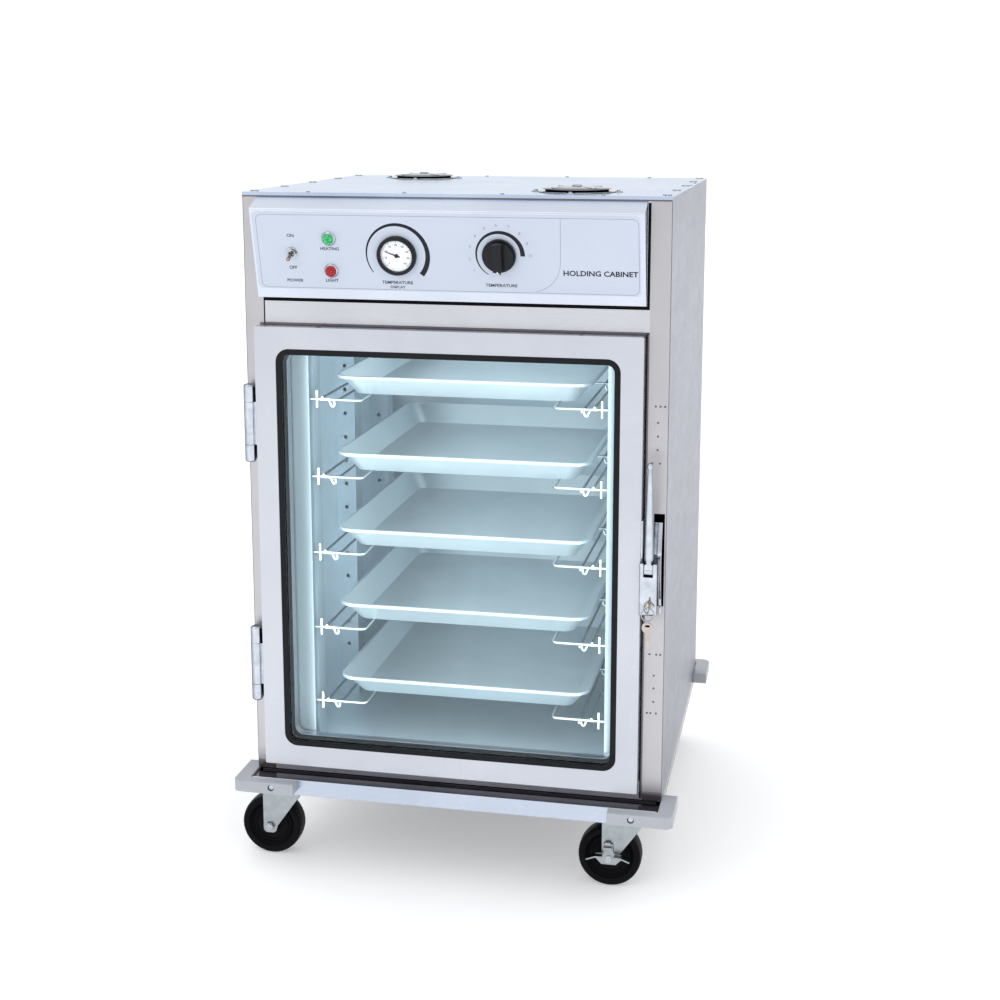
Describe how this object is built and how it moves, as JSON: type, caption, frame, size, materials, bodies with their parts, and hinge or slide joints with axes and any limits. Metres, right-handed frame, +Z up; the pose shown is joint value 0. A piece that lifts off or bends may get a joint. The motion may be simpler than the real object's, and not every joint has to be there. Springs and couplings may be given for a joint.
{
  "type": "heated food holding cabinet",
  "caption": "Floor-standing heated holding cabinet on swivel casters, with a glazed hinged door, pans on wire slides, a sloped control panel and roof vents.",
  "frame": {"origin": "on the floor, under the middle of the whole cabinet", "axes": "+X to the right seen from the front, +Y to the back, +Z up; the door faces -Y"},
  "size_m": [0.697, 0.7136, 1.0686],
  "materials": {
    "brushed_stainless": "satin",
    "base_stainless": "satin",
    "chamber_stainless": "satin",
    "chrome": "polished",
    "chrome_wire": "bright",
    "aluminium_pan": "matte",
    "grey_bumper": "matte",
    "steel_screw": "satin",
    "mineral_wool": "matte",
    "printed_overlay": "satin",
    "green_lens": "gloss",
    "red_lens": "gloss",
    "white_dial": "matte",
    "dial_glass": "gloss",
    "black_plastic": "satin",
    "zinc_steel": "satin",
    "black_wheel": "matte",
    "door_glass": "gloss",
    "black_rubber": "matte",
    "key_metal": "satin"
  },
  "bodies": {
    "cabinet": {"left_side_panel": "brushed_stainless", "right_side_panel": "brushed_stainless", "back_panel": "brushed_stainless", "roof_cover": "brushed_stainless", "front_rails": "brushed_stainless", "base_tray": "base_stainless", "bumper_rails": "base_stainless", "corner_bumpers": "grey_bumper", "cabinet_screws": "steel_screw", "inner_liner": "chamber_stainless", "insulation": "mineral_wool", "slide_uprights": "chamber_stainless", "left_wire_slides": "chrome_wire", "right_wire_slides": "chrome_wire", "control_panel": "brushed_stainless", "control_overlay": "printed_overlay", "control_bezels": "chrome", "heating_lamp_lens": "green_lens", "light_lamp_lens": "red_lens", "thermometer_case": "chrome", "thermometer_dial": "white_dial", "thermometer_glass": "dial_glass", "thermostat": "black_plastic", "heating_element": "chamber_stainless", "power_entry": "black_plastic", "vent_ducts": "chamber_stainless", "vent_bases": "chrome", "caster_plates": "zinc_steel", "hinge_frame_leaves": "chrome", "strike_plate": "chrome", "strike_box": "black_plastic"},
    "door": {"door_frame": "brushed_stainless", "door_inner_frame": "brushed_stainless", "door_glass": "door_glass", "glass_gasket": "black_rubber", "door_seal": "black_rubber", "hinge_door_leaves": "chrome", "latch_body": "chrome"},
    "latch_lever": {"latch_lever": "chrome"},
    "lock_cylinder": {"lock_cylinder": "key_metal"},
    "spare_key": {"spare_key": "key_metal"},
    "toggle_lever": {"toggle_lever": "chrome"},
    "thermometer_needle": {"thermometer_needle": "black_plastic"},
    "thermostat_knob": {"thermostat_knob": "black_plastic"},
    "front_vent_damper": {"front_vent_damper": "chrome"},
    "rear_vent_damper": {"rear_vent_damper": "chrome"},
    "pan_1": {"pan_1": "aluminium_pan"},
    "pan_2": {"pan_2": "aluminium_pan"},
    "pan_3": {"pan_3": "aluminium_pan"},
    "pan_4": {"pan_4": "aluminium_pan"},
    "pan_5": {"pan_5": "aluminium_pan"},
    "brake_pedal": {"brake_pedal": "zinc_steel"},
    "front_left_caster_fork": {"front_left_caster_fork": "zinc_steel"},
    "front_left_caster_wheel": {"front_left_caster_wheel": "black_wheel"},
    "front_right_caster_fork": {"front_right_caster_fork": "zinc_steel"},
    "front_right_caster_wheel": {"front_right_caster_wheel": "black_wheel"},
    "rear_left_caster_fork": {"rear_left_caster_fork": "zinc_steel"},
    "rear_left_caster_wheel": {"rear_left_caster_wheel": "black_wheel"},
    "rear_right_caster_fork": {"rear_right_caster_fork": "zinc_steel"},
    "rear_right_caster_wheel": {"rear_right_caster_wheel": "black_wheel"}
  },
  "joints": [
    {"name": "door_hinge", "type": "hinge", "parent": "cabinet", "child": "door", "pos_m": [-0.311, -0.313, 0.522], "axis": [0, 0, -1], "range_deg": [0, 175]},
    {"name": "latch_lever_pivot", "type": "hinge", "parent": "door", "child": "latch_lever", "pos_m": [0.299, -0.334, 0.523], "axis": [1, 0, 0], "range_deg": [0, 40], "stiffness_Nm_per_rad": 0.5, "springref_deg": -5.73},
    {"name": "lock_turn", "type": "hinge", "parent": "door", "child": "lock_cylinder", "pos_m": [0.301, -0.342, 0.474], "axis": [0, -1, 0], "range_deg": [0, 90]},
    {"name": "spare_key_swing", "type": "hinge", "parent": "lock_cylinder", "child": "spare_key", "pos_m": [0.301, -0.3566, 0.473], "axis": [-1, 0, 0], "range_deg": [-8, 45]},
    {"name": "power_toggle", "type": "hinge", "parent": "cabinet", "child": "toggle_lever", "pos_m": [-0.237, -0.31887, 0.97027], "axis": [-1, 0, 0], "range_deg": [0, 28]},
    {"name": "thermometer_pointer", "type": "hinge", "parent": "cabinet", "child": "thermometer_needle", "pos_m": [-0.077, -0.31953, 0.9691], "axis": [0, 0.9743, 0.2254], "range_deg": [-60, 200]},
    {"name": "thermostat_turn", "type": "hinge", "parent": "cabinet", "child": "thermostat_knob", "pos_m": [0.075, -0.3242, 0.97109], "axis": [0, 0.9743, 0.2254], "range_deg": [0, 270]},
    {"name": "front_vent_turn", "type": "hinge", "parent": "cabinet", "child": "front_vent_damper", "pos_m": [0.168, -0.199, 1.063], "axis": [0, 0, 1], "range_deg": [0, 45]},
    {"name": "rear_vent_turn", "type": "hinge", "parent": "cabinet", "child": "rear_vent_damper", "pos_m": [-0.168, 0.199, 1.063], "axis": [0, 0, 1], "range_deg": [0, 45]},
    {"name": "pan_1_slide", "type": "slide", "parent": "cabinet", "child": "pan_1", "axis": [0, -1, 0], "range_m": [-0.06, 0.04]},
    {"name": "pan_2_slide", "type": "slide", "parent": "cabinet", "child": "pan_2", "axis": [0, -1, 0], "range_m": [-0.06, 0.04]},
    {"name": "pan_3_slide", "type": "slide", "parent": "cabinet", "child": "pan_3", "axis": [0, -1, 0], "range_m": [-0.06, 0.04]},
    {"name": "pan_4_slide", "type": "slide", "parent": "cabinet", "child": "pan_4", "axis": [0, -1, 0], "range_m": [-0.06, 0.04]},
    {"name": "pan_5_slide", "type": "slide", "parent": "cabinet", "child": "pan_5", "axis": [0, -1, 0], "range_m": [-0.06, 0.04]},
    {"name": "front_left_swivel", "type": "hinge", "parent": "cabinet", "child": "front_left_caster_fork", "pos_m": [-0.273, -0.267, 0.112], "axis": [0, 0, 1], "continuous": true},
    {"name": "front_left_roll", "type": "hinge", "parent": "front_left_caster_fork", "child": "front_left_caster_wheel", "pos_m": [-0.306, -0.267, 0.049], "axis": [0, 1, 0], "continuous": true},
    {"name": "front_right_swivel", "type": "hinge", "parent": "cabinet", "child": "front_right_caster_fork", "pos_m": [0.273, -0.267, 0.112], "axis": [0, 0, 1], "continuous": true},
    {"name": "front_right_roll", "type": "hinge", "parent": "front_right_caster_fork", "child": "front_right_caster_wheel", "pos_m": [0.24, -0.267, 0.049], "axis": [0, 1, 0], "continuous": true},
    {"name": "rear_left_swivel", "type": "hinge", "parent": "cabinet", "child": "rear_left_caster_fork", "pos_m": [-0.273, 0.267, 0.112], "axis": [0, 0, 1], "continuous": true},
    {"name": "rear_left_roll", "type": "hinge", "parent": "rear_left_caster_fork", "child": "rear_left_caster_wheel", "pos_m": [-0.273, 0.3, 0.049], "axis": [1, 0, 0], "continuous": true},
    {"name": "rear_right_swivel", "type": "hinge", "parent": "cabinet", "child": "rear_right_caster_fork", "pos_m": [0.273, 0.267, 0.112], "axis": [0, 0, 1], "continuous": true},
    {"name": "rear_right_roll", "type": "hinge", "parent": "rear_right_caster_fork", "child": "rear_right_caster_wheel", "pos_m": [0.273, 0.3, 0.049], "axis": [1, 0, 0], "continuous": true},
    {"name": "brake_rock", "type": "hinge", "parent": "front_right_caster_fork", "child": "brake_pedal", "pos_m": [0.24, -0.29, 0.049], "axis": [0, -1, 0], "range_deg": [0, 20]}
  ]
}
